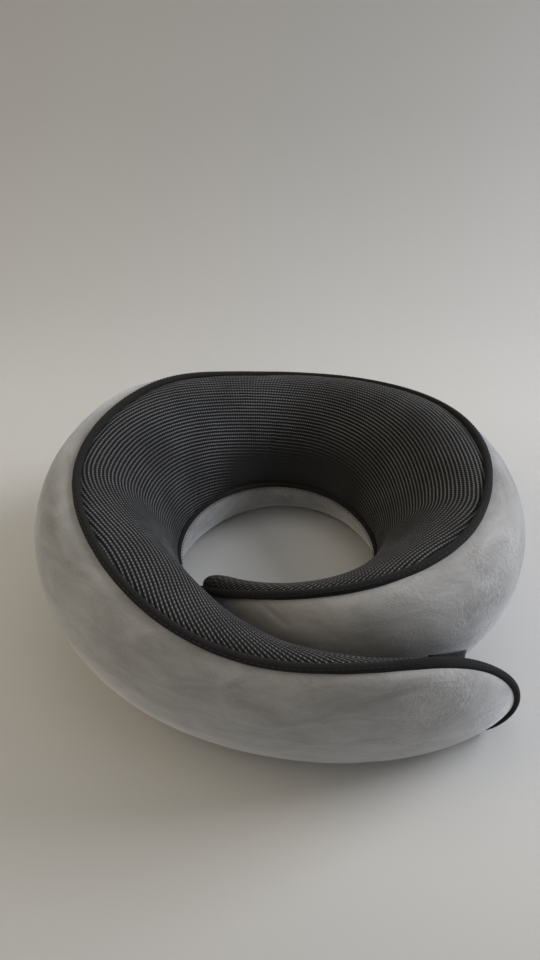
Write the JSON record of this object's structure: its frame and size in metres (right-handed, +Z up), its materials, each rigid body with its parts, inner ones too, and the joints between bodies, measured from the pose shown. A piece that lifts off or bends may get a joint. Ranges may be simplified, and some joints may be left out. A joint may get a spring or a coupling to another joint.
{
  "type": "neck pillow",
  "caption": "Wrap-around U shaped memory foam neck pillow in velour and spacer mesh, with arms that overlap in front and swing open, and a zipped removable cover.",
  "frame": {"origin": "centre of the bounding box on the surface the pillow lies on", "axes": "+Z up out of the neck opening, +Y towards the back of the pillow, -Y towards the overlapping arms, the outer arm starting on the -X side"},
  "size_m": [0.2971, 0.3198, 0.1188],
  "materials": {
    "foam": "soft open foam",
    "velour": "short pile velour, matt with a soft sheen",
    "mesh": "ribbed spacer mesh with pale dots",
    "binding": "folded flat tape",
    "zip_tape": "woven tape",
    "zip_coil": "nylon coil",
    "zip_metal": "black lacquer",
    "hook_and_loop": "hook and loop pile",
    "label": "blank woven ribbon"
  },
  "bodies": {
    "back": {"binding_low_back": "binding", "binding_low_flex_inner": "binding", "binding_low_flex_outer": "binding", "binding_top_back": "binding", "binding_top_flex_inner": "binding", "binding_top_flex_outer": "binding", "care_label": "label", "foam_back": "foam", "foam_flex_inner": "foam", "foam_flex_outer": "foam", "mesh_back": "mesh", "mesh_flex_inner": "mesh", "mesh_flex_outer": "mesh", "velour_back": "velour", "velour_flex_inner": "velour", "velour_flex_outer": "velour", "zip_coil_lower": "zip_coil", "zip_coil_upper": "zip_coil", "zip_stop_closed": "zip_metal", "zip_stop_open": "zip_metal", "zip_tape_lower": "zip_tape", "zip_tape_upper": "zip_tape"},
    "arm_outer": {"foam_arm_outer": "foam", "velour_arm_outer": "velour", "mesh_arm_outer": "mesh", "binding_arm_outer": "binding", "hook_patch": "hook_and_loop"},
    "arm_inner": {"foam_arm_inner": "foam", "velour_arm_inner": "velour", "mesh_arm_inner": "mesh", "binding_arm_inner": "binding", "loop_patch": "hook_and_loop"},
    "slider": {"zip_slider": "zip_metal"},
    "pull": {"zip_pull": "zip_metal"}
  },
  "joints": [
    {"name": "arm_outer_swing", "type": "hinge", "parent": "back", "child": "arm_outer", "pos_m": [-0.10792, 0.00894, 0.05], "axis": [0, 0, -1], "range_deg": [0, 45], "stiffness_Nm_per_rad": 1.2, "deforming": ["foam_flex_outer", "velour_flex_outer", "mesh_flex_outer", "binding_top_flex_outer", "binding_low_flex_outer"]},
    {"name": "arm_inner_swing", "type": "hinge", "parent": "back", "child": "arm_inner", "pos_m": [0.10397, 0.01468, 0.05], "axis": [0, 0, 1], "range_deg": [0, 18], "stiffness_Nm_per_rad": 1.2, "deforming": ["foam_flex_inner", "velour_flex_inner", "mesh_flex_inner", "binding_top_flex_inner", "binding_low_flex_inner"]},
    {"name": "zip_run", "type": "hinge", "parent": "back", "child": "slider", "pos_m": [0.00559, 0.02462, 0.021], "axis": [0, 0, -1], "range_deg": [0, 74]},
    {"name": "pull_flip", "type": "hinge", "parent": "slider", "child": "pull", "pos_m": [-0.0707, 0.12585, 0.01791], "axis": [-0.3512, 0.466, 0.8121], "range_deg": [0, 150]}
  ],
  "couplings": [
    {"joint": "arm_inner_swing", "follows": "arm_outer_swing", "ratio": 0.4}
  ]
}
